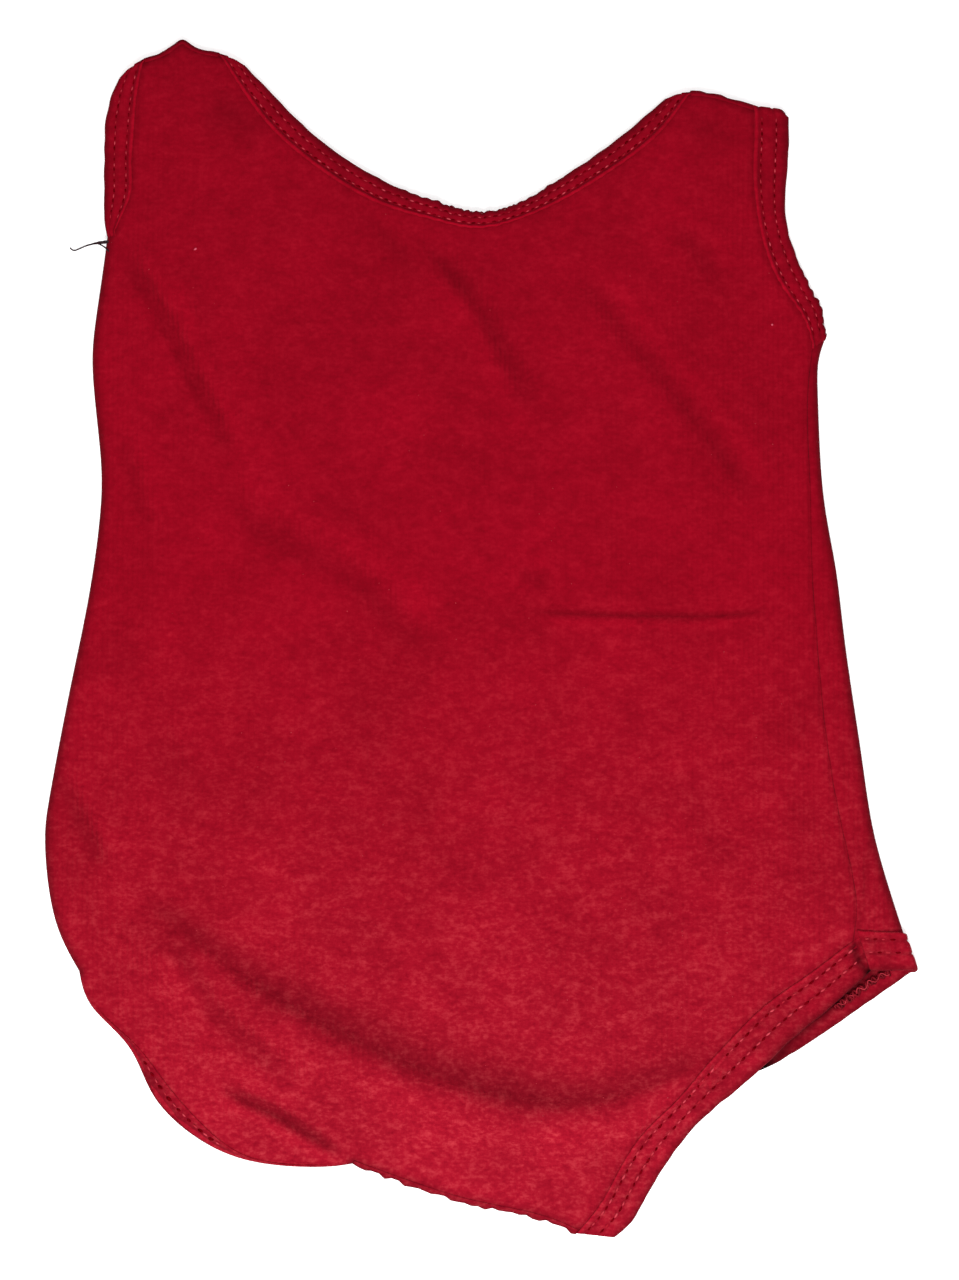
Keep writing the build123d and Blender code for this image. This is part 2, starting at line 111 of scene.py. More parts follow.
SEAT_FOLD = [(-126, -83), (-108, -94.5), (-87, -109.5), (-63, -125), (-42, -136), (-18, -146.5),
             (8, -154.5), (22, -157.2), (42, -155.8), (62, -150), (76, -143), (88, -133)]
LEG_CREASE = [(-91, -151.5), (-83, -157), (-72.8, -161.8), (-64, -167), (-55.5, -172.5), (-45, -179)]
WAIST_CREASE = [(14, 10.4), (30, 9.6), (45, 9.2), (62, 8.8), (80, 8.9), (102, 10.8)]
FOLDS = [
    Fold(LEG_CREASE, 2.4, 2.0, 1.3, -1, 0.38, 0.22),
    Fold(WAIST_CREASE, 0.9, 1.2, 0.5, -1, 0.25, 0.16),
    Fold([(-146, -42), (-142, -55), (-135, -68), (-129, -79)], 1.8, 2.8, 0.9, 1, 0.20, 0.3),
    Fold([(-125, 140), (-119.5, 127.5), (-110.8, 113.9), (-100.2, 93.2), (-90, 73), (-86, 61)],
         1.9, 2.7, 1.4, 1, 0.22, 0.18),
    Fold([(-108, 132), (-102, 118), (-95, 100)], -0.9, 2.4, 0, 1, -0.13, 0.4),
    Fold([(-25, 143), (-3.8, 120.8), (6.6, 103.5), (15.2, 88), (20, 76)], 1.7, 3.2, 0.6, -1, 0.20, 0.3),
    Fold([(-43, 152), (-28, 134.6), (-19, 121)], 0.7, 3.0, 0.3, 1, 0.09, 0.4),
    Fold([(31, 131), (48, 110.4), (61.8, 93.2), (75.6, 75.9), (89.4, 56.9), (99, 43)],
         1.5, 3.6, 0.8, 1, 0.17, 0.18),
    Fold([(57, 150), (75.6, 134.6), (88, 116)], 0.9, 3.6, 0.5, 1, 0.12, 0.4),
    Fold([(-96, 64), (-76.2, 41.4), (-52.1, 27.6), (-38.3, 18), (-28, 6.9), (-14, -1), (-3, -3.5)],
         1.7, 5.0, 1.3, 1, 0.16, 0.3),
    Fold([(-125.5, 76), (-120, 55), (-113, 34)], 1.0, 3.2, 0.6, 1, 0.16, 0.3),
    Fold([(-109, -97), (-99, -114), (-90, -129), (-76.2, -141.5), (-60, -155)],
         1.4, 3.8, 0.8, -1, 0.19, 0.22),
    Fold([(12, 26), (18, 22.5), (26, 21)], 1.1, 2.8, 0.9, 1, 0.18, 0.4),
    Fold([(-116, -18), (-106, -44), (-101, -66)], 0.8, 5.0, 0.4, 1, 0.07, 0.45),
    Fold([(-46, -10), (-34, -38), (-38, -62)], 0.7, 6.0, 0.4, 1, 0.05, 0.45),
    Fold([(60, -40), (78, -62), (92, -88)], 0.7, 6.0, 0.4, -1, 0.06, 0.45),
]
# Painted shade spots on the upper cloth; a negative amount paints light instead.
SHADE_SPOTS = [  # (centre, size, how much darker)
    ((-43, 104), 21, 0.06), ((-88, 183), 8, 0.22), ((-78, 176), 7, 0.15), ((80, 176), 8, 0.10),
    ((24, 38), 8, -0.08), ((12, 74), 6, -0.08), ((-20, 12), 9, -0.06), ((-62, -150), 9, -0.06),
    ((5, 45), 50, 0.035), ((-10, -170), 30, -0.07), ((40, -172), 22, -0.05), ((-95, -148), 28, -0.05)]
SEAM_LINE_2 = [(134.4, -70), (133.1, -78), (132.1, -86), (131.3, -94), (130, -100)]
GUSSET = [[(-36, -173), (-6, -184.5), (26, -194)], [(26, -194), (38, -184), (49, -167), (62, -150)],
          [(62, -150), (20, -134), (-36, -134)], [(-36, -134), (-36, -173)]]
FRINGE = [(122.5, -127.2), (128, -122.8), (132.2, -119.8), (137, -116.6), (140.9, -114.8)]
LINT = [(100.4, 108.7), (-98.3, 134.6)]

MM = 0.001
CLOTH = 0.75  # thickness of the knit
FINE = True
GRID = 1.7 if FINE else 4.0  # spacing of the points inside a panel
STEP = 1.3 if FINE else 3.0  # spacing of the points along its outline
LAP = 0.55  # share of a binding's width that the panel reaches into it
RNG = np.random.default_rng(7)


# ======== curves
def gaps(line):
    """The distances between the points of a line."""
    return np.linalg.norm(np.diff(line, axis=0), axis=1)


def along_of(line):
    """How far along a line each of its points is."""
    return np.concatenate([[0], np.cumsum(gaps(line))])


def length_of(line):
    return float(gaps(line).sum())


def points_at(want, along, line):
    """The points that far along a line."""
    return np.stack([np.interp(want, along, column) for column in line.T], axis=-1)


def unit(v, least=0.0):
    """Each row of v at length one; least keeps a row of zeros from dividing by zero."""
    return v / (np.linalg.norm(v, axis=1)[:, None] + least)


def spline(points, count=None, step=STEP):
    """A natural cubic through the points, sampled evenly along its length."""
    p = np.array(points, float)
    n = len(p)
    t = np.concatenate([[0], np.cumsum(np.sqrt(gaps(p)))])
    h = np.diff(t)
    a, b = np.zeros((n, n)), np.zeros_like(p)
    a[0, 0] = a[-1, -1] = 1
    for i in range(1, n - 1):
        a[i, i - 1:i + 2] = h[i - 1], 2 * (h[i - 1] + h[i]), h[i]
        b[i] = 6 * ((p[i + 1] - p[i]) / h[i] - (p[i] - p[i - 1]) / h[i - 1])
    m = np.linalg.solve(a, b)
    rows = []
    for i in range(n - 1):
        u = np.linspace(t[i], t[i + 1], 24, endpoint=i == n - 2)[:, None]
        left, right = t[i + 1] - u, u - t[i]
        rows.append(m[i] * left**3 / (6 * h[i]) + m[i + 1] * right**3 / (6 * h[i])
                    + (p[i] / h[i] - m[i] * h[i] / 6) * left
                    + (p[i + 1] / h[i] - m[i + 1] * h[i] / 6) * right)
    fine = np.vstack(rows)
    along = along_of(fine)
    if count is None:
        count = max(2, int(round(along[-1] / step)) + 1)
    return points_at(np.linspace(0, along[-1], count), along, fine)


def normals(line):
    """Unit normals of a plane curve, to its left."""
    d = unit(np.gradient(line[:, :2], axis=0))
    return np.stack([-d[:, 1], d[:, 0]], axis=1)


def nearest(points, line):
    """Distance from each point to a line, signed (left is positive), and its share along the line."""
    a, b = line[:-1], line[1:]
    ab = b - a
    size = (ab**2).sum(1)
    best = np.full(len(points), 1e9)
    sign = np.ones(len(points))
    share = np.zeros(len(points))
    for k in range(len(a)):
        ap = points - a[k]
        t = np.clip((ap @ ab[k]) / size[k], 0, 1)
        off = ap - t[:, None] * ab[k]
        d = np.hypot(*off.T)
        near = d < best
        best[near] = d[near]
        sign[near] = np.where(ab[k, 0] * ap[near, 1] - ab[k, 1] * ap[near, 0] >= 0, 1, -1)
        share[near] = (k + t[near]) / len(a)
    return best * sign, share


def noise2(points, size, seed):
    """Smooth value noise from -1 to 1, with features of about that size."""
    table = np.random.default_rng(seed).uniform(-1, 1, (257, 257))
    q = points / size + 64.37  # an offset that keeps every cell number positive
    cell = np.floor(q).astype(int)
    f = q - cell
    u, w = (f * f * f * (f * (f * 6 - 15) + 10)).T
    x, y = (cell % 256).T
    top = table[y, x] * (1 - u) + table[y, x + 1] * u
    low = table[y + 1, x] * (1 - u) + table[y + 1, x + 1] * u
    return top * (1 - w) + low * w


# ======== the height of the cloth, and the shade and light painted on it
SIDES = [spline(c, step=3) for c in (RIGHT_SIDE, LEFT_SIDE, RIGHT_LEG_EDGE)]
EDGES = [spline(c, step=4) for c in (NECK_FOLD, RIGHT_SHOULDER, RIGHT_ARM_FOLD, RIGHT_SIDE,
                                     RIGHT_LEG_EDGE, CROTCH, LEFT_LEG_FOLD, LEFT_SIDE,
                                     LEFT_ARM_FOLD, LEFT_SHOULDER)]
ROLL = 2.4  # radius in plan of the roll at a folded side
MIDDLE = 2.0  # height of the middle of a roll
EDGE_Z, LOWEST_Z = 3.9, 3.3  # the upper layer's height at the outline, and its least height
PUFF, REACH = 5.2, 26  # its rise towards the middle, and the length over which it rises


def gauss(d, width):
    return np.exp(-(d / width)**2)


def ends(share, first, last):
    """1 along a fold, falling smoothly to 0 over those shares at its two ends."""
    s = np.clip(np.minimum(share / first, (1 - share) / last), 0, 1)
    return s * s * (3 - 2 * s)


def folds(p):
    """What the folds add to the height of the upper layer, and the shade painted in their valleys and the
    light painted on their ridges.
    """
    d, s = nearest(p, spline(SEAT_FOLD, step=4))
    w = ends(s, 0.13, 0.09)
    swell = 0.30 + 0.70 * np.sin(math.pi * np.clip(s * 1.05 - 0.05, 0, 1))
    up, down = np.clip(d, 0, None), np.clip(-d, 0, None)
    valley = np.exp(-(up / (4 + 10 * swell))**2 - (down / (1.8 + 2.2 * swell))**2)
    dark = np.exp(-(up / (2.0 + 6.8 * swell))**2 - (down / (1.0 + 1.3 * swell))**2)
    z = w * (-4.4 * swell * valley + 2.6 * gauss(d + 12, 7.5))
    shade_tone = 1 - w * (0.36 * np.sqrt(swell) * dark - 0.05 * gauss(d + 12, 8))
    for fold in FOLDS:
        d, s = nearest(p, spline(fold.points, step=4))
        w = ends(s, fold.fade, fold.fade)
        valley = gauss(d, fold.width)
        ridge = gauss(d - fold.side * 2.1 * fold.width, 1.5 * fold.width)
        z += w * (fold.lift * ridge - fold.depth * valley)
        shade_tone += w * fold.dark * (0.35 * ridge - valley)
    for centre, size, dark in SHADE_SPOTS:
        shade_tone -= dark * gauss(np.hypot(*(p - centre).T), size)
    return z, shade_tone


def seam_groove(p):
    d, s = nearest(p, spline(LEFT_SEAM, step=3))
    inside = (s > 0.001) & (s < 0.999)
    z = np.where(inside, -0.30 * gauss(d, 0.75) + 0.35 * gauss(np.abs(d) - 2.6, 1.5), 0)
    d2, s2 = nearest(p, spline(SEAM_LINE_2, step=3))
    return z - ends(s2, 0.3, 0.3) * 0.7 * gauss(d2, 0.9)


def rolled(z, p):
    """Heights brought to the middle of the roll where the cloth comes over a folded side."""
    d = np.min([np.abs(nearest(p, side)[0]) for side in SIDES], axis=0)
    share = np.sqrt(np.clip(1 - (1 - np.clip(d, 0, ROLL) / ROLL)**2, 0, 1))
    return MIDDLE + (z - MIDDLE) * share


def face_height(p):
    """The upper layer's outer face, as if it ran straight out over its sides."""
    d = np.min([np.abs(nearest(p, e)[0]) for e in EDGES], axis=0)
    z = EDGE_Z + PUFF * (1 - np.exp(-d / REACH))
    soft = np.clip(d / 16, 0, 1)
    z += folds(p)[0] * (0.25 + 0.75 * soft)
    z += soft * (0.75 * noise2(p, 46, 1) + 0.42 * noise2(p, 21, 2))
    z += (0.2 + 0.8 * soft) * (0.24 * noise2(p, 9, 3) + 0.15 * noise2(p, 4.4, 4))
    z += 0.35 * (1 - soft) * noise2(p, 12, 9)
    return np.maximum(z + seam_groove(p), LOWEST_Z)


def top_height(p):
    return rolled(face_height(p), p)


def low_height(p):
    """The lower layer's outer face, which rests on the table."""
    return rolled(0.25 + 0.35 * (0.5 + 0.5 * noise2(p, 24, 5)) + 0.12 * noise2(p, 8, 6), p)


def cloth_painted_shade(q):
    """How light the cloth is painted: painted shade in creases, along edges and beside the bindings,
    painted light on fold ridges, over a random mottle of the brushed cloth.
    """
    p = q[:, :2]
    shade_tone = folds(p)[1]
    for line, amount, width in PAINTED_SHADE_LINES:
        shade_tone = shade_tone - amount * gauss(nearest(p, line)[0], width)
    shade_tone += 0.035 * noise2(p, 17, 21) + 0.025 * noise2(p, 7, 22) + 0.02 * noise2(p, 3.2, 23)
    return np.clip(shade_tone, 0.45, 1.2)


def inner_tone(q):
    """The cloth of the lower layer and of inner pieces has no folds of its own."""
    p = q[:, :2]
    return 0.95 + 0.04 * noise2(p, 17, 21) + 0.03 * noise2(p, 6, 22)


def paint(obj, shade_tone):
    """Stores at each point of a piece how light its cloth is painted, shade and light with the mottle, for
    the material to read.
    """
    mesh = obj.data
    if callable(shade_tone):
        where = np.empty(len(mesh.vertices) * 3)
        mesh.vertices.foreach_get("co", where)
        shade_tone = shade_tone(where.reshape(-1, 3) / MM)
    mesh.attributes.new("shade_tone", "FLOAT", "POINT").data.foreach_set("value", np.asarray(shade_tone, float))


# Painted shade along lines: at the folded sides, crotch and shoulders, beside the bindings and in the
# seams; each is (line, how much darker, width).
PAINTED_SHADE_LINES = [(spline(line, step=3), amount, width) for lines, amount, width in (
    ((RIGHT_SIDE, LEFT_SIDE, CROTCH, RIGHT_SHOULDER, LEFT_SHOULDER), 0.48, 2.4),
    ((RIGHT_ARM_INNER, LEFT_ARM_INNER, LEFT_LEG_INNER), 0.24, 1.3),
    ((NECK_INNER,), 0.14, 1.2), ((RIGHT_LEG_TOP,), 0.10, 1.2),
    ((LEFT_SEAM,), 0.07, 0.8), ((SEAM_LINE_2,), 0.16, 1.0)) for line in lines]


# ======== meshes
def placed(name, data, place=(0, 0, 0)):
    obj = bpy.data.objects.new(name, data)
    obj.location = place
    bpy.context.collection.objects.link(obj)
    return obj


def new_object(name, vertices, faces):
    mesh = bpy.data.meshes.new(name)
    mesh.from_pydata([tuple(v) for v in np.asarray(vertices) * MM], [], [tuple(f) for f in faces])
    mesh.validate()
    mesh.update()
    mesh.shade_smooth()
    return placed(name, mesh)


def filled(ring, extra=(), spacing=GRID):
    """Triangles inside a closed outline, with extra lines of points near its folded edges."""
    lo, hi = ring.min(0), ring.max(0)
    xs = np.arange(lo[0], hi[0], spacing)
    ys = np.arange(lo[1], hi[1], spacing * 0.866)
    gx, gy = np.meshgrid(xs, ys)
    gx = gx + (np.arange(len(ys)) % 2)[:, None] * spacing / 2
    grid = np.stack([gx.ravel(), gy.ravel()], 1) + RNG.uniform(-0.12, 0.12, (gx.size, 2)) * spacing
    closed = np.vstack([ring, ring[:1]])
    grid = grid[winding(grid, closed)]
    grid = grid[np.abs(nearest(grid, closed)[0]) > spacing * 0.55]
    for line in extra:
        grid = grid[np.abs(nearest(grid, line)[0]) > spacing * 0.5]
    for line in extra:
        ok = winding(line, closed) & (np.abs(nearest(line, closed)[0]) > 0.12)
        grid = np.vstack([grid, line[ok]])
    n = len(ring)
    edges = [(i, (i + 1) % n) for i in range(n)]
    v, _, f = delaunay_2d_cdt([Vector(q) for q in np.vstack([ring, grid])], edges, [], 1, 1e-6)[:3]
    return np.array([(q.x, q.y) for q in v]), [tuple(t) for t in f]


def winding(points, closed):
    """Which points are inside a closed line."""
    inside = np.zeros(len(points), bool)
    x, y = points.T
    for (x0, y0), (x1, y1) in zip(closed[:-1], closed[1:]):
        cross = (y0 > y) != (y1 > y)
        if cross.any():
            inside ^= cross & (x < (x1 - x0) * (y - y0) / (y1 - y0 + 1e-12) + x0)
    return inside


def loop_of(*lines):
    """One closed outline from several sampled lines."""
    points = np.vstack(lines)
    return points[gaps(np.vstack([points, points[:1]])) > 0.25]


def beside(line, distance):
    return line + normals(line) * distance


def join_sheets(name, sheets):
    """One mesh from several (points3, faces, flip), welded where their edges meet."""
    points, faces, base = [], [], 0
    for p, f, flip in sheets:
        points.append(p)
        faces += [tuple(i + base for i in (t[::-1] if flip else t)) for t in f]
        base += len(p)
    points = np.vstack(points)
    _, first, back = np.unique(np.round(points, 3), axis=0, return_index=True, return_inverse=True)
    back = back.ravel()
    faces = [tuple(back[i] for i in t) for t in faces]
    faces = [t for t in faces if len(set(t)) == 3]
    return new_object(name, points[first], faces)


def grid_faces(rows, cols):
    """The quads of a grid of points."""
    return [(a * cols + b + 1, (a + 1) * cols + b + 1, (a + 1) * cols + b, a * cols + b)
            for a in range(rows - 1) for b in range(cols - 1)]


def loft_faces(rings, segs, closed=False):
    """The skin over a row of rings of points, capped at its ends unless the row is closed."""
    faces = [(r * segs + s, r * segs + t, (r + 1) % rings * segs + t, (r + 1) % rings * segs + s)
             for r in range(rings if closed else rings - 1)
             for s, t in zip(range(segs), [*range(1, segs), 0])]
    if not closed:
        faces += [tuple(range(segs))[::-1], tuple((rings - 1) * segs + s for s in range(segs))]
    return faces


def joined(name, parts, kinds=None):
    """One piece from several (vertices, faces), each with its own kind of material."""
    faces, index, base = [], [], 0
    for k, (v, fs) in enumerate(parts):
        faces += [tuple(x + base for x in face) for face in fs]
        index += [kinds[k] if kinds else 0] * len(fs)
        base += len(v)
    piece = new_object(name, np.vstack([v for v, _ in parts]), faces)
    piece.data.polygons.foreach_set("material_index", index)
    return piece


def thicken(obj, thickness, offset=-1.0):
    mod = obj.modifiers.new("thick", "SOLIDIFY")
    mod.thickness = thickness * MM
    mod.offset = offset
    bpy.context.view_layer.objects.active = obj
    with bpy.context.temp_override(object=obj, active_object=obj):
        bpy.ops.object.modifier_apply(modifier=mod.name)
    obj.data.shade_smooth()


def lift(v, height):
    """Plane points raised to a height, which is one number or one for each point."""
    return np.column_stack([v, np.broadcast_to(height, len(v))])


def rolls(*lines):
    """Extra lines of points across the roll beside each line."""
    return [beside(spline(line), d) for line in lines for d in (0.1, 0.35, 0.75, 1.3, 2.0, 2.8)]


def lap(fold, inner):
    """The edge of a panel inside its binding."""
    f, i = np.array(fold), np.array(inner)
    return spline(f + (i - f) * LAP, max(8, int(length_of(spline(fold, step=4)) / STEP)))


WRAP_UNDER, BACK_IN = 11.0, 9.5  # on the right: the front's strip below, and where the back starts
SEAM_LINES = (0.35, 0.8, 1.3)  # extra lines of points beside the seam on the top
right_side, left_side, left_seam, crotch = (spline(c) for c in (RIGHT_SIDE, LEFT_SIDE, LEFT_SEAM, CROTCH))

neck_to_side = [lap(NECK_FOLD, NECK_INNER), spline(RIGHT_SHOULDER), lap(RIGHT_ARM_FOLD, RIGHT_ARM_INNER)]
side_to_neck = [lap(LEFT_ARM_FOLD, LEFT_ARM_INNER), spline(LEFT_SHOULDER)]

# ---- front panel: the top, and the strip that is rolled under on the right
front_outline = loop_of(*neck_to_side, right_side, spline(RIGHT_LEG_EDGE), crotch,
                        lap(LEFT_LEG_FOLD, LEFT_LEG_INNER), left_seam, *side_to_neck)
extra = rolls(RIGHT_SIDE, RIGHT_LEG_EDGE) + [beside(left_seam, d) for d in SEAM_LINES]
if FINE:
    extra += [beside(spline(SEAT_FOLD), d) for d in (-4.4, -3.2, -2.1, -1.0, 0.2, 1.6)]
    extra += [beside(spline(line), d) for line in (LEG_CREASE, WAIST_CREASE)
              for d in (-1.5, -0.6, 0.3, 1.2)]
v, f = filled(front_outline, extra)
top_sheet = (lift(v, top_height(v)), f, False)
v, f = filled(loop_of(right_side, beside(right_side, WRAP_UNDER)[::-1]), rolls(RIGHT_SIDE))
front = join_sheets("cloth_front", [top_sheet, (lift(v, low_height(v)), f, True)])

# ---- back panel: the bottom, and the strip that is rolled over on the left
back_outline = loop_of(*neck_to_side, beside(right_side, BACK_IN),
                       lap(RIGHT_LEG_BACK_FOLD, RIGHT_LEG_BACK_INNER), crotch,
                       lap(LEFT_LEG_BACK_FOLD, LEFT_LEG_BACK_INNER), left_side, *side_to_neck)
v, f = filled(back_outline, rolls(LEFT_SIDE), GRID * 1.25)
bottom_sheet = (lift(v, low_height(v)), f, True)
hip_top = spline([(147, -104.2), (138, -104.2), (131, -104)])[::-1]
v, f = filled(loop_of(hip_top, left_side, left_seam[::-1]),
              rolls(LEFT_SIDE) + [beside(left_seam, -d) for d in SEAM_LINES])
back = join_sheets("cloth_back", [bottom_sheet, (lift(v, top_height(v)), f, False)])
for panel in (front, back):
    thicken(panel, CLOTH)
    paint(panel, cloth_painted_shade)


# ---- bindings: a folded band swept round each opening
UP = np.array([0, 0, 1.0])
LOW_Z = 1.34  # middle of a binding that lies on the table
SINK = -0.35  # how far a binding's middle lies under the face of the panel
EDGE_IN = 1.6  # where a binding starts to turn over at its end
CORNER = 1.0  # radius in plan of a binding's corners at the shoulders
HIP_IN = 2.0  # where the left leg's back band starts to turn over the hip
TABLE_GAP = 0.02  # the least height of a binding above the table

Tape = namedtuple("Tape", "rows width dip groove")
NECK = Tape((0.36, 0.72), 7.0, 0.28, 0.34)
ARM = Tape((0.36, 0.78), 9.5, 0.40, 0.38)
LEG = Tape((0.46, 0.80), 13.8, 0.50, 0.62)


def profile(tape):
    """The closed section of a folded binding: (share from the fold, height off the middle)."""
    width, dip = tape.width, tape.dip
    lip = 0.5 / width
    w = tape.groove / width
    upper = [(1.0, 0.26), (1.0 - 0.15 * lip, 0.92), (1.0 - lip, 1.30), (1.0 - 2.6 * lip, 1.22)]
    for r in sorted(tape.rows, reverse=True):
        upper += [(r + 2.0 * w, 1.16), (r + w, 1.16 - 0.3 * dip), (r, 1.16 - dip),
                  (r - w, 1.16 - 0.3 * dip), (r - 2.0 * w, 1.18)]
    upper += [(1.1 / width, 1.10), (0.5 / width, 0.90), (0.12 / width, 0.52)]
    lower = [(s, -h) for s, h in upper[::-1]]
    full = upper + [(-0.12 / width, 0.0)] + lower
    section = []
    for (s0, h0), (s1, h1) in zip(full, full[1:] + full[:1]):
        parts = 1 + int(abs(s1 - s0) * width / 1.4)
        section += [(s0 + (s1 - s0) * k / parts, h0 + (h1 - h0) * k / parts) for k in range(parts)]
    return section


def section_painted_shade(section, tape):
    """Painted shade where the cloth turns over the fold and in the sewn grooves, and a painted highlight on
    the raised edge.
    """
    s = np.array([q[0] for q in section])
    shade_tone = 0.95 - 0.44 * gauss(s * tape.width, 1.8) + 0.24 * (s > 1 - 0.6 / tape.width)
    for r in tape.rows:
        shade_tone = shade_tone - 0.36 * tape.dip * gauss((s - r) * tape.width, 0.8)
    return shade_tone


def paint_band(piece, grid, shade_tone):
    """A band's painted shade and highlight from its section, mottled where the elastic gathers it."""
    p = grid[..., :2].reshape(-1, 2)
    shade_tone = np.broadcast_to(shade_tone, grid.shape[:2]).ravel()
    paint(piece, shade_tone * (1 + 0.09 * noise2(p, 2.4, 51) + 0.07 * noise2(p, 6.5, 52)))


def sweep(stations, section, gather=None):
    """The grid of points of a band through stations of (fold, inner, up)."""
    fold, inner, up = stations
    grid = np.stack([fold + (inner - fold) * s + up * h for s, h in section], 1)
    if gather is not None:
        grid = grid + gather(fold, inner, up, section)
    grid[..., 2] = np.maximum(grid[..., 2], TABLE_GAP)
    return grid


def skin(name, grid, closed=False):
    return new_object(name, grid.reshape(-1, 3), loft_faces(*grid.shape[:2], closed))


def matched(fold, inner, spacing=0.9, count=None):
    """Both lines of a binding sampled so that matching points stay together."""
    both = spline(np.hstack([fold, inner]), count or int(length_of(spline(fold, step=3)) / spacing))
    return both[:, :2], both[:, 2:]


def facing(fold, inner, up):
    """The stations of a stretch that faces one way."""
    return fold, inner, np.tile(up, (len(fold), 1))


def chained(*stretches):
    return [np.vstack(part) for part in zip(*stretches)]


def band_height(p):
    return np.minimum(face_height(p), 5.6)


def turn(fold_a, inner_a, fold_b, inner_b, outward, steps=7):
    """The stations of half a turn from the upper layer to the lower one, over the edge."""
    a = math.pi * np.arange(1, steps)[:, None] / steps

    def arc(top, low):
        half = (top - low) / 2
        return (top + low) / 2 + half * np.cos(a) + outward * abs(half[2]) * np.sin(a)
    return arc(fold_a, fold_b), arc(inner_a, inner_b), UP * np.cos(a) + outward * np.sin(a)


def backwards(stations):
    return [part[::-1] for part in stations]


def pulled(line, start, stop):
    """A line with its ends drawn in along itself by those lengths."""
    along = along_of(line)
    return points_at(np.linspace(start, along[-1] - stop, len(line)), along, line)


def rounded(fold, inner, first, last):
    """A fold line drawn in towards the inner line at its ends, so that the corners there are round."""
    along = along_of(fold)
    across = unit(inner - fold)
    for radius, t in ((first, along), (last, along[-1] - along)):
        if radius:
            u = np.clip(1 - t / radius, 0, 1)
            fold = fold + across * (radius * (1 - np.sqrt(1 - u * u)))[:, None]
    return fold


def puckers(pitch, amount, seed, where=None, scallop=None):
    """Small uneven waves that the elastic draws up between the stitches."""
    rng = np.random.default_rng(seed)

    def move(fold, inner, up, section):
        along = along_of(fold)
        knots = np.arange(0, along[-1] + 16, 4.0)
        slow, size, drift = (np.interp(along, knots, rng.uniform(-1, 1, len(knots))) for _ in range(3))
        phase = 2 * math.pi * along / pitch + 1.3 * drift
        size = amount * (0.55 + 0.45 * size) * (1 if where is None else where(fold))
        across = unit(fold - inner, 1e-9)
        bites = 0 if scallop is None else scallop(fold) * np.sin(2 * math.pi * along / 3.7 + 1.1 * drift)
        out = []
        for s, h in section:
            edge = np.clip(1 - s, 0, 1)
            z = size * (0.30 * np.sin(phase) + 0.45 * slow) * (0.25 + 0.75 * edge)
            side = (size * (0.30 * np.sin(phase * 0.5 + 1) + 0.55 * slow) + bites) * edge**2
            lip = 0.22 * size * np.sin(phase * 1.31 + 2) * (s > 0.9)
            out.append(up * (z * (h > 0))[:, None] + across * (side + lip)[:, None])
        return np.stack(out, 1)
    return move


ELASTIC_SECTION = [(0.70, 0.32), (0.10, 0.32), (0.10, -0.32), (0.70, -0.32)]


def elastic_of(name, stations, closed=False):
    """The tape inside a binding, which follows every third of its stations."""
    skin("elastic_" + name, sweep([part[::3] for part in stations], ELASTIC_SECTION), closed)


def binding(name, stations, tape, gather, closed=False, shade=None):
    """A binding with its elastic; returns the lines at the bottoms of its sewn grooves."""
    section = profile(tape)
    grid = sweep(stations, section, gather)
    shade_tone = section_painted_shade(section, tape)
    if shade is not None:
        shade_tone = shade_tone - shade(grid.reshape(-1, 3)).reshape(grid.shape[:2])
    paint_band(skin("band_" + name, grid, closed), grid, shade_tone)
    elastic_of(name, stations, closed)
    at = [next(k for k, (s, h) in enumerate(section) if s == row and h > 0) for row in tape.rows]
    return [grid[:, k] for k in at]


def ring_binding(name, fold, inner, tape, corners, gather):
    """A binding that runs along the upper layer, turns over at both ends and comes back below."""
    f, i = (pulled(line, EDGE_IN, EDGE_IN) for line in matched(fold, inner))
    f = rounded(f, i, *corners)
    top_f, top_i = lift(f, band_height(f) + SINK), lift(i, face_height(i) + SINK)
    low_f, low_i = lift(f, LOW_Z), lift(i, LOW_Z)
    before, after = (np.append(d / np.linalg.norm(d), 0) for d in (f[0] - f[3], f[-1] - f[-4]))
    stations = chained(facing(top_f, top_i, UP),
                       turn(top_f[-1], top_i[-1], low_f[-1], low_i[-1], after),
                       facing(low_f[::-1], low_i[::-1], -UP),
                       backwards(turn(top_f[0], top_i[0], low_f[0], low_i[0], before)))
    return [line[:len(f)] for line in binding(name, stations, tape, gather, closed=True)]


neck_rows = ring_binding(
    "neck", NECK_FOLD, NECK_INNER, NECK, (CORNER, CORNER),
    puckers(5.2, 0.95, 1, where=lambda q: 0.35 + 1.1 * gauss(q[:, 0], 24),
            scallop=lambda q: 0.42 * gauss(q[:, 0] + 2, 22)))
rarm_rows = ring_binding(
    "right_arm", RIGHT_ARM_FOLD, RIGHT_ARM_INNER, ARM, (CORNER, 0), puckers(4.4, 0.45, 2))
larm_rows = ring_binding(
    "left_arm", LEFT_ARM_FOLD, LEFT_ARM_INNER, ARM, (0, CORNER),
    puckers(4.8, 0.85, 3, where=lambda q: 0.5 + 1.1 * gauss(q[:, 1] - 112, 16),
            scallop=lambda q: 0.34 * gauss(q[:, 1] - 116, 12)))

# ---- left leg: the front band, whose end dives under the back band that comes over the hip
f, i = matched(LEFT_LEG_FOLD + [(137.4, -111.9)], LEFT_LEG_INNER + [(132.4, -100.6)])
dive = 1.5 * np.clip(1 - (1 - np.linspace(0, 1, len(f))) * length_of(f) / 9.0, 0, 1)**1.5
stations = facing(lift(f, band_height(f) + SINK - dive), lift(i, face_height(i) + SINK - dive), UP)
lleg_rows = binding(
    "left_leg_front", stations, LEG, puckers(5.2, 0.35, 4),
    shade=lambda q: 0.55 * gauss(nearest(q[:, :2], spline(HIP_SHADOW, step=1.5))[0], 1.7))

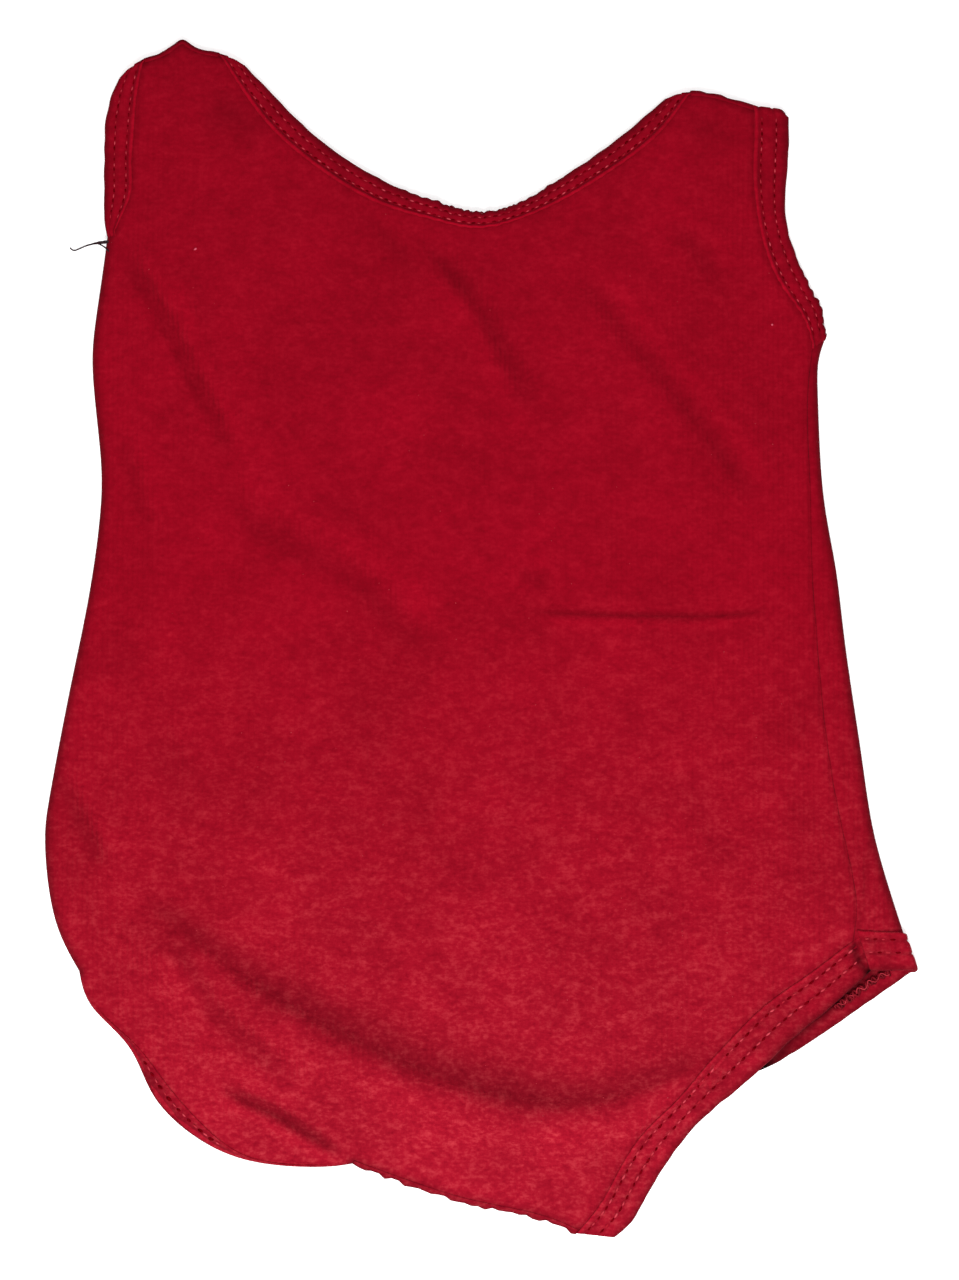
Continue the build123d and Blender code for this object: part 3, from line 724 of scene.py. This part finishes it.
low_f, low_i = (lift(pulled(line, 0, HIP_IN), LOW_Z)
                for line in matched(LEFT_LEG_BACK_FOLD, LEFT_LEG_BACK_INNER, 1.0))
hip_f, hip_i = (pulled(line, HIP_IN, 0) for line in matched(LEFT_HIP_FOLD, LEFT_HIP_INNER, count=18))
rise = 4.7 + 0.8 * np.linspace(0, 1, len(hip_f))
hip_f, hip_i = lift(hip_f, rise), lift(hip_i, np.maximum(rise, face_height(hip_i) - 0.2))
stations = chained(facing(low_f, low_i, -UP),
                   backwards(turn(hip_f[0], hip_i[0], low_f[-1], low_i[-1], np.array([1.0, 0, 0]))),
                   facing(hip_f, hip_i, UP))
hip_rows = [line[-len(hip_f):] for line in binding(
    "left_leg_back", stations, LEG, puckers(5.2, 0.35, 5),
    shade=lambda q: 0.60 * gauss(nearest(q[:, :2], spline(LEFT_LEG_FOLD, step=2))[0], 2.6) * (q[:, 2] < 3))]

# ---- right leg: the binding rolls under along its edge, with the back of the ring below
e, t = matched(RIGHT_LEG_EDGE, RIGHT_LEG_TOP, 1.1)
_, u = matched(RIGHT_LEG_EDGE, RIGHT_LEG_FOLD, 1.1)
n = len(e)
width_top = np.linalg.norm(t - e, axis=1)[:, None]
inward = (t - e) / (width_top + 1e-9)
taper = ends(np.linspace(0, 1, n), 0.16, 0.10)[:, None]
ht = face_height(t)[:, None]
z_edge = 0.62 * ht
tuck = inward * 1.9 * (1 - taper)
# The right leg band's painted shade: darker over the top towards the rolled edge and darkest round it, with
# a painted highlight on the lip at its seam.
across, shade_tones = [], []
for w in np.linspace(0, 1, 8):  # over the top, from the seam to the edge
    p = t + (e - t) * w * np.clip(1 - 1.0 / np.maximum(width_top, 1.4), 0.1, 1) + tuck
    lip = 0.25 * gauss(w - 0.08, 0.08)
    across.append(np.hstack([p, ht + (0.55 + lip) * taper - 0.9 * (1 - taper) + (z_edge - ht) * w**1.8]))
    shade_tones.append(0.92 - 0.34 * w**0.7 + 0.24 * (w < 0.1))
for a in np.linspace(0.2, 0.9, 6) * math.pi:  # round the edge
    p = e + inward * 1.3 * (1 - math.sin(a)) + tuck
    across.append(np.hstack([p, 0.32 + (z_edge + 0.3) / 2 * (1 + math.cos(a)) * (0.55 + 0.45 * taper)]))
    shade_tones.append(0.60)
for w in np.linspace(0.15, 1, 8):  # back underneath, to the fold
    across.append(np.hstack([e + (u - e) * w + tuck * (1 - w), np.full((n, 1), 0.30)]))
    shade_tones.append(0.9)
grid = np.stack(across, 1)
piece = new_object("band_right_leg_front", grid.reshape(-1, 3), grid_faces(*grid.shape[:2]))
paint_band(piece, grid, shade_tones)
thicken(piece, 1.4)
rleg_row = grid[:, 3] + UP * 0.02
stations = facing(lift(e + inward * 2.6, 1.0), lift(u, 1.0), UP)
elastic_of("right_leg_front", [part[6:-6] for part in stations])
low_f, low_i = (lift(line, LOW_Z) for line in matched(RIGHT_LEG_BACK_FOLD, RIGHT_LEG_BACK_INNER, 1.1))
binding("right_leg_back", facing(low_f, low_i, -UP), LEG, puckers(5.2, 0.3, 6))


# ---- stitches: in each groove, dark beads that paint the shade of the needle holes, and the thread between them, which is lighter than the cloth, partly its own colour and partly a painted highlight
Bead = namedtuple("Bead", "lift length width height")
PIT_SHADE = Bead(0.12, 0.44, 0.92, 0.36)
THREAD_BEAD = Bead(0.28, 0.40, 0.54, 0.52)
SUNK = 0.22  # how much deeper some of the thread lies


def bead(centre, along, length, width, height):
    """One low bead whose ends dive into the cloth."""
    side = np.cross(UP, along)
    rings, segs = 5, 6
    verts = []
    for x in np.linspace(-1, 1, rings):
        swell = 0.25 + 0.75 * math.sqrt(max(0.0, 1 - x * x))
        c = centre + along * (x * length / 2) - UP * (0.30 * x * x * height)
        for a in np.linspace(0, 2 * math.pi, segs, endpoint=False):
            verts.append(c + swell / 2 * (side * width * math.cos(a) + UP * height * math.sin(a)))
    return verts, loft_faces(rings, segs)


def sew(name, jobs):
    """One piece of stitches; each job is (line, pitch, first share, last share, thickness)."""
    parts, kinds = [], []
    rng = np.random.default_rng(len(name) * 7)
    for line, pitch, first, last, thick in jobs:
        along = along_of(line)
        count = int((last - first) * along[-1] / pitch)
        for q in range(count * 2):
            # Every other bead is a dark one that paints the shade of a needle hole.
            dip = q % 2 == 0
            at = (first + (last - first) * (q / 2 + 0.25) / count) * along[-1]
            at += rng.uniform(-0.05, 0.05) * pitch
            c, ahead, behind = (points_at(x, along, line) for x in (at, at + 0.8, at - 0.8))
            d = (ahead - behind) / np.linalg.norm(ahead - behind)
            d = d + np.cross(UP, d) * ((0.30 if dip else 0.0) + rng.uniform(-0.12, 0.12))
            d /= np.linalg.norm(d)
            size = rng.uniform(0.8, 1.15)
            look = PIT_SHADE if dip else THREAD_BEAD
            sunk = 0 if dip else SUNK * (rng.uniform() < (0.6 if thick < 1 else 0.3))
            parts.append(bead(c + UP * (look.lift - sunk), d, pitch * look.length * size,
                              look.width * thick * size, look.height))
            kinds.append(0 if dip else 1)
    joined(name, parts, kinds)


sew("sewn_neck", [(line, 3.5, 0.01, 0.99, 0.9) for line in neck_rows])
sew("sewn_right_arm", [(line, 3.5, 0.03, 0.93, 0.9) for line in rarm_rows])
sew("sewn_left_arm", [(line, 3.5, 0.02, 0.98, 0.9) for line in larm_rows])
sew("sewn_left_leg", [(line, 4.7, 0.01, 0.955, 1.35) for line in lleg_rows]
    + [(line, 4.7, 0.08, 0.95, 1.35) for line in hip_rows])
sew("sewn_right_leg", [(rleg_row, 4.7, 0.30, 0.62, 1.2)])


# ---- crotch and shoulders: turned, overlocked edges that close the layers
EDGE_LOW = 0.45  # the lowest line of a turned edge


def tube(points, radius, segs=6):
    """A round thread through points; the radius may vary along it."""
    p = np.asarray(points, float)
    d = unit(np.gradient(p, axis=0), 1e-9)
    a = unit(np.cross(d, np.where(np.abs(d[:, 2:3]) > 0.9, [[1.0, 0, 0]], [[0, 0, 1.0]])), 1e-9)
    b = np.cross(d, a)
    r = np.broadcast_to(radius, (len(p),))[:, None]
    turns = np.linspace(0, 2 * math.pi, segs, endpoint=False)
    verts = np.stack([p + r * (a * math.cos(x) + b * math.sin(x)) for x in turns], 1).reshape(-1, 3)
    return verts, loft_faces(len(p), segs)


def turned_edge(name, points, bulge, rough, seed):
    """The cloth turned from the upper layer to the lower one along a seam."""
    line = spline(points, step=0.8)
    n = len(line)
    knots = np.arange(0, n + 6, 3)
    rng = np.random.default_rng(seed)
    ragged = np.interp(np.arange(n), knots, rng.uniform(-rough, rough, len(knots)))
    across = normals(line)
    radius = (face_height(line + across) - EDGE_LOW) / 2
    rows = []
    for a in np.linspace(0, math.pi, 9):
        out = (bulge + ragged) * math.sin(a)
        rows.append(lift(line + across * (1.4 - out)[:, None], EDGE_LOW + radius * (1 + math.cos(a))))
    grid = np.stack(rows, 1)
    piece = new_object(name, grid.reshape(-1, 3), grid_faces(*grid.shape[:2]))
    # Painted shade in the middle of the turn, where the cloth faces sideways.
    paint(piece, np.tile(0.84 - 0.36 * np.sin(np.linspace(0, math.pi, 9)), n))
    thicken(piece, 0.8, offset=0)


turned_edge("seam_crotch", CROTCH, 1.7, 0.7, 11)
turned_edge("seam_right_shoulder", RIGHT_SHOULDER, 1.5, 0.15, 12)
turned_edge("seam_left_shoulder", LEFT_SHOULDER, 1.5, 0.30, 13)

# ---- side seams: an overlocked ridge on the inside, with looper thread over its edge
RIDGE_SECTION = [(0.0, 0.55), (0.9, 0.6), (1.0, 0.0), (0.9, -0.6), (0.0, -0.55)]


def looper(line, pitch, width, rise, seed):
    """Looper thread lying back and forth over an edge."""
    along = along_of(line)
    at = np.linspace(0, along[-1], int(along[-1] / pitch * 8))
    c = points_at(at, along, line)
    knots = np.arange(0, along[-1] + 5, 1.7)
    wander = np.interp(at, knots, np.random.default_rng(seed).uniform(-1, 1, len(knots)))
    phase = 2 * math.pi * at / pitch + 0.8 * wander
    side = width / 2 * (np.sin(phase) * (1 + 0.35 * wander))
    c[:, :2] += normals(c) * side[:, None]
    c[:, 2] += rise * np.abs(np.cos(phase)) + 0.2 * wander
    return c


def side_seam(name, line, near, far, height):
    """The ridge beside one side seam and its looper thread, as one piece."""
    centre = spline(line, step=2.0 if FINE else 5.0)
    a, b = (lift(q, height(q)) for q in (beside(centre, near), beside(centre, far)))
    grid = sweep(facing(a, b, UP), RIDGE_SECTION)
    ridge = grid.reshape(-1, 3), loft_faces(*grid.shape[:2])
    thread = tube(looper(b + UP * 0.1, 2.6, 1.8, 0.6, 5), 0.16, 4)
    joined(name, [ridge, thread], (0, 1))


side_seam("seam_left_side", LEFT_SEAM[1:-1], 0.3, 5.0, lambda q: face_height(q) - CLOTH - 1.0)
side_seam("seam_right_side", RIGHT_SIDE[:-1], 9.5, 14.0, lambda q: low_height(q) + CLOTH + 1.0)
fringe_line = spline([(x, y, 3.0) for x, y in FRINGE], step=0.5)
joined("seam_left_side_end",
       [tube(looper(fringe_line, 2.6, 2.2, 0.6, 8), 0.42, 6),
        tube(looper(fringe_line + (0.3, -0.5, -0.5), 3.4, 1.9, 0.8, 9), 0.36, 6),
        tube(looper(fringe_line + (0, 0, 0.35), 4.6, 1.6, 0.6, 10), 0.20, 5)], (0, 0, 1))


# ---- inside: the gusset lining and a blank care label
INSIDE_Z = 1.75  # pieces inside lie on the lower layer
LABEL_SIZE, LABEL_AT = (22.0, 14.0), (-2.0, 124.0)


gusset_outline = loop_of(*[spline(line, step=2.5) for line in GUSSET])
v, f = filled(gusset_outline, spacing=3.0)
lining = new_object("lining_gusset", lift(v, INSIDE_Z + 0.12 * noise2(v, 11, 31)), f)
thicken(lining, 0.5)
paint(lining, inner_tone)

v = np.array([(x, y) for y in np.linspace(-0.5, 0.5, 9) for x in np.linspace(-0.5, 0.5, 13)])
curl = 0.35 * (2 * v[:, 1])**2 + 0.12 * np.sin(5 * v[:, 0])
label = new_object("label_care", lift(v * LABEL_SIZE + LABEL_AT, INSIDE_Z + curl), grid_faces(9, 13))
thicken(label, 0.3)

# ---- loose thread at the armhole, and the tangle where it leaves the cloth
curve = bpy.data.curves.new("tail_thread", "CURVE")
curve.dimensions = "3D"
tail_line = curve.splines.new("NURBS")
tail_line.points.add(len(THREAD) - 1)
for q, point in zip(tail_line.points, THREAD):
    q.co = (*(x * MM for x in point), 1)
tail_line.order_u = 3
tail_line.use_endpoint_u = True
curve.bevel_depth = 0.25 * MM
curve.bevel_resolution = 3
tail = placed("tail_thread", curve)
strands = []
turns = np.linspace(0, 1, 40)
swirl = 0.30 * (1 - turns**2)
root = spline([(-128.4, 137.6, 3), (-131.4, 137.4, 2.9), (-134.4, 137, 1.9), (-137, 136.2, 0.9)], 40)
for k in range(3):
    angle = 9 * turns + 2.1 * k
    path = root + np.stack([0 * turns, swirl * np.sin(angle), swirl * np.cos(angle)], 1)
    strands.append(tube(path, 0.36 * (1 - 0.75 * turns**1.5), 6))
tangle = joined("tail_tangle", strands)

# ---- pilling: tiny rolled fibres standing on the brushed face
pills = []
rng = np.random.default_rng(41)
spots = [(x, y, 0.75) for x, y in LINT]
while len(spots) < (170 if FINE else 20):
    x, y = rng.uniform(-125, 105), rng.uniform(-175, 150)
    if rng.uniform() < 0.25 + 0.75 * np.clip((60 - y) / 160, 0, 1):
        spots.append((x, y, rng.uniform(0.20, 0.36)))
spots = np.array(spots)
inside = winding(spots[:, :2], np.vstack([front_outline, front_outline[:1]]))
inside &= np.min([np.abs(nearest(spots[:, :2], line)[0]) for line in EDGES], axis=0) > 8
for x, y, size in spots[inside]:
    a = rng.uniform(0, math.pi)
    z = float(top_height(np.array([[x, y]]))[0])
    pills.append(bead(np.array([x, y, z + 0.12 * size]), np.array([math.cos(a), math.sin(a), 0]),
                      size * rng.uniform(1.0, 1.8), size, size * 0.8))
joined("pilling", pills, [0 if size > 0.7 else 1 for _, _, size in spots[inside]])


# ======== materials
CALM = ((0.146, 0.0004, 0.0049), (0.190, 0.0007, 0.0069), (0.236, 0.0024, 0.0104))  # the smooth knit
# Towards the seat the knit is more speckled with wear and lighter and pinker, partly wear and partly
# painted light.
SPECKLED = ((0.143, 0.0008, 0.0066), (0.213, 0.0034, 0.0116), (0.306, 0.0196, 0.0284))  # where it is worn
CLOUDS = ((0.90, 0.86, 0.88), (1.05, 1.10, 1.08))


def set_inputs(node, values):
    for key, value in values.items():
        node.inputs[key.replace("_", " ")].default_value = value


def nodes_of(name, **values):
    """A material, its node tree and its shader, whose inputs get the values."""
    mat = bpy.data.materials.new(name)
    mat.use_nodes = True
    bsdf = mat.node_tree.nodes["Principled BSDF"]
    set_inputs(bsdf, values)
    return mat, mat.node_tree, bsdf


def add(tree, kind, inputs=(), **settings):
    node = tree.nodes.new(kind)
    for key, value in settings.items():
        setattr(node, key, value)
    set_inputs(node, dict(inputs))
    return node


def ramp_of(tree, source, low, high, *colours):
    """Colours spread evenly between two values of the source."""
    ramp = add(tree, "ShaderNodeValToRGB")
    elements = ramp.color_ramp.elements
    elements[0].position, elements[1].position = low, high
    elements[0].color, elements[1].color = (*colours[0], 1), (*colours[-1], 1)
    for k, colour in enumerate(colours[1:-1], 1):
        elements.new(low + (high - low) * k / (len(colours) - 1)).color = (*colour, 1)
    tree.links.new(source, ramp.inputs["Fac"])
    return ramp.outputs["Color"]


def noise(tree, place, scale, detail, roughness=0.5):
    node = add(tree, "ShaderNodeTexNoise", {"Scale": scale, "Detail": detail, "Roughness": roughness})
    tree.links.new(place, node.inputs["Vector"])
    return node.outputs["Fac"]


def mixed(tree, factor, a, b, data="RGBA", blend="MIX"):
    """Two sockets mixed by a number or by a third socket."""
    node = add(tree, "ShaderNodeMix", data_type=data, blend_type=blend)
    if isinstance(factor, float):
        node.inputs[0].default_value = factor
    else:
        tree.links.new(factor, node.inputs[0])
    first, out = (6, 2) if data == "RGBA" else (2, 0)
    tree.links.new(a, node.inputs[first])
    tree.links.new(b, node.inputs[first + 1])
    return node.outputs[out]


def roughen(tree, bsdf, height, strength, distance):
    """Small relief, in metres, on the surface of a material."""
    node = add(tree, "ShaderNodeBump", {"Strength": strength, "Distance": distance})
    tree.links.new(height, node.inputs["Height"])
    tree.links.new(node.outputs["Normal"], bsdf.inputs["Normal"])


def jersey(name, rib=0.3, bump=0.5):
    """Brushed, slightly pilled knit: mottled in short streaks, ribbed, more worn towards the seat and
    lighter and pinker there, partly wear and partly painted light; the shade and light painted on each
    piece multiply its colour.
    """
    mat, tree, bsdf = nodes_of(name, Roughness=0.95, Specular_IOR_Level=0.03, Sheen_Weight=0.04,
                               Sheen_Roughness=0.45, Sheen_Tint=(1.0, 0.20, 0.28, 1))
    link = tree.links.new
    place = add(tree, "ShaderNodeTexCoord").outputs["Object"]
    streaks = add(tree, "ShaderNodeMapping", {"Scale": (1.0, 1.5, 1.0)})
    link(place, streaks.inputs["Vector"])
    fine = noise(tree, streaks.outputs["Vector"], 520.0, 3.0, 0.65)
    coarse = noise(tree, streaks.outputs["Vector"], 190.0, 4.0, 0.7)
    broad = noise(tree, place, 34.0, 3.0, 0.55)
    blend = mixed(tree, 0.5, fine, coarse, "FLOAT")
    axes = add(tree, "ShaderNodeSeparateXYZ")
    link(place, axes.inputs["Vector"])
    worn_and_lit = add(tree, "ShaderNodeMapRange", {"From Min": 0.02, "From Max": -0.17})
    link(axes.outputs["Y"], worn_and_lit.inputs["Value"])
    mottle = mixed(tree, worn_and_lit.outputs["Result"], ramp_of(tree, blend, 0.28, 0.72, *CALM),
                   ramp_of(tree, blend, 0.31, 0.69, *SPECKLED))
    clouds = mixed(tree, 1.0, mottle, ramp_of(tree, broad, 0.3, 0.7, *CLOUDS), blend="MULTIPLY")
    shade_tone = add(tree, "ShaderNodeAttribute", attribute_name="shade_tone").outputs["Fac"]
    link(mixed(tree, 1.0, clouds, shade_tone, blend="MULTIPLY"), bsdf.inputs["Base Color"])
    wales = add(tree, "ShaderNodeTexWave", {"Scale": 180.0, "Distortion": 2.2, "Detail": 2.0,
                                            "Detail Scale": 1.4}, bands_direction="X")
    link(place, wales.inputs["Vector"])
    roughen(tree, bsdf, mixed(tree, rib, blend, wales.outputs["Fac"], "FLOAT"), bump, 0.0008)
    return mat


def spun(name, dark, light, scale=900.0, roughness=0.6, shine=0.06):
    """Thread or woven tape: a fine twist between two colours."""
    mat, tree, bsdf = nodes_of(name, Roughness=roughness, Specular_IOR_Level=shine)
    twist = noise(tree, add(tree, "ShaderNodeTexCoord").outputs["Object"], scale, 2.0)
    tree.links.new(ramp_of(tree, twist, 0.35, 0.65, dark, light), bsdf.inputs["Base Color"])
    roughen(tree, bsdf, twist, 0.4, 0.0002)
    return mat


cloth_mat = jersey("jersey_red")
band_mat = jersey("binding_red", bump=0.4)
lining_mat = jersey("lining_red", rib=0.8, bump=0.3)
overlock_mat = spun("overlock_red", (0.050, 0.0004, 0.0020), (0.150, 0.0025, 0.0080), scale=500.0)
looper_mat = spun("looper_thread", (0.16, 0.0020, 0.0080), (0.36, 0.0250, 0.0380))
# Near-black beads painted as the shade in the needle holes.
pit_shade_mat = spun("needle_pit_shade", (0.060, 0.0002, 0.0012), (0.120, 0.0005, 0.0030), roughness=1.0, shine=0.0)
# The stitch thread, lighter than the cloth: partly its own colour, partly a painted highlight.
stitch_mat = spun("needle_thread", (0.23, 0.0030, 0.0100), (0.39, 0.0360, 0.0520), scale=260.0)
tail_mat = spun("tail_dark", (0.008, 0.0030, 0.0040), (0.030, 0.0140, 0.0170))
elastic_mat = spun("elastic_white", (0.50, 0.48, 0.45), (0.70, 0.68, 0.64), scale=700.0)
label_mat = spun("label_white", (0.72, 0.71, 0.68), (0.84, 0.83, 0.80), 1100.0, 0.45, shine=0.3)
pill_mat = spun("pill_red", (0.26, 0.0060, 0.0160), (0.36, 0.0330, 0.0450), roughness=0.95)
lint_mat = spun("lint_pink", (0.40, 0.045, 0.080), (0.50, 0.080, 0.120), roughness=0.95)


def dress(piece, slot, mats, *nodes):
    """Gives a piece its materials, sets it on the root body, and hides the CAD parts that it stands in for.
    """
    for mat in mats:
        piece.data.materials.append(mat)
    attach(piece, "root")
    if nodes:
        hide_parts(*nodes)


LOOKS = {  # the materials of each slot's pieces, and what each piece stands in for
    "jersey": ([cloth_mat], {"cloth_front": "front_panel", "cloth_back": "back_panel"}),
    "lining": ([lining_mat], {"lining_gusset": "gusset_lining"}),
    "label": ([label_mat], {"label_care": "care_label"}),
    "overlock": ([overlock_mat, looper_mat], {
        "seam_left_side": "left_side_seam", "seam_left_side_end": "left_side_seam",
        "seam_right_side": "right_side_seam"}),
    "loose_thread": ([tail_mat], {"tail_thread": "loose_thread", "tail_tangle": "loose_thread"}),
}
for slot, (mats, stands_for) in LOOKS.items():
    for name, node in stands_for.items():
        dress(bpy.data.objects[name], slot, mats, node)
dress(bpy.data.objects["pilling"], "jersey", [lint_mat, pill_mat])
for seam in ("crotch", "right_shoulder", "left_shoulder"):
    dress(bpy.data.objects["seam_" + seam], "overlock", [band_mat], seam + "_seam")

for kind, suffix, slot, mats in (("band", "binding", "binding", [band_mat]),
                                 ("elastic", "elastic", "elastic", [elastic_mat]),
                                 ("sewn", "stitching", "stitch_thread", [pit_shade_mat, stitch_mat])):
    for opening in ("neck", "right_arm", "left_arm", "right_leg", "left_leg"):
        node = f"{opening}hole_{suffix}" if opening.endswith("arm") else f"{opening}_{suffix}"
        for piece in [obj for obj in bpy.data.objects if obj.name.startswith(f"{kind}_{opening}")]:
            dress(piece, slot, mats, node)

# ======== floor, light, camera
FLOOR = 4000 * np.array([(-1, -1), (1, -1), (1, 1), (-1, 1)])
floor = new_object("floor", lift(FLOOR, 0), [(0, 1, 2, 3)])
floor.data.materials.append(nodes_of(
    "floor_white", Base_Color=(0.94, 0.94, 0.94, 1), Roughness=0.9,
    Emission_Color=(1, 1, 1, 1), Emission_Strength=0.2)[0])

scene = bpy.context.scene
scene.view_settings.view_transform = "Standard"
scene.world = bpy.data.worlds.new("soft_room")
scene.world.use_nodes = True
set_inputs(scene.world.node_tree.nodes["Background"], {"Color": (1, 1, 1, 1), "Strength": 0.45})


def lamp(name, place, aim, size, power):
    data = bpy.data.lights.new(name, "AREA")
    data.shape = "DISK"
    data.size = size
    data.energy = power
    turned = (Vector(aim) - Vector(place)).to_track_quat("-Z", "Y").to_euler()
    placed(name, data, place).rotation_euler = turned


lamp("key", (-0.04, -0.50, 0.74), (0, -0.06, 0), 0.6, 10.6)
lamp("fill", (0, 0.8, 2.5), (0, 0.3, 0), 2.0, 34)
camera = bpy.data.cameras.new("camera")
camera.lens = 97.4
scene.camera = placed("camera", camera, (-0.0005, 0.0, 1.2))
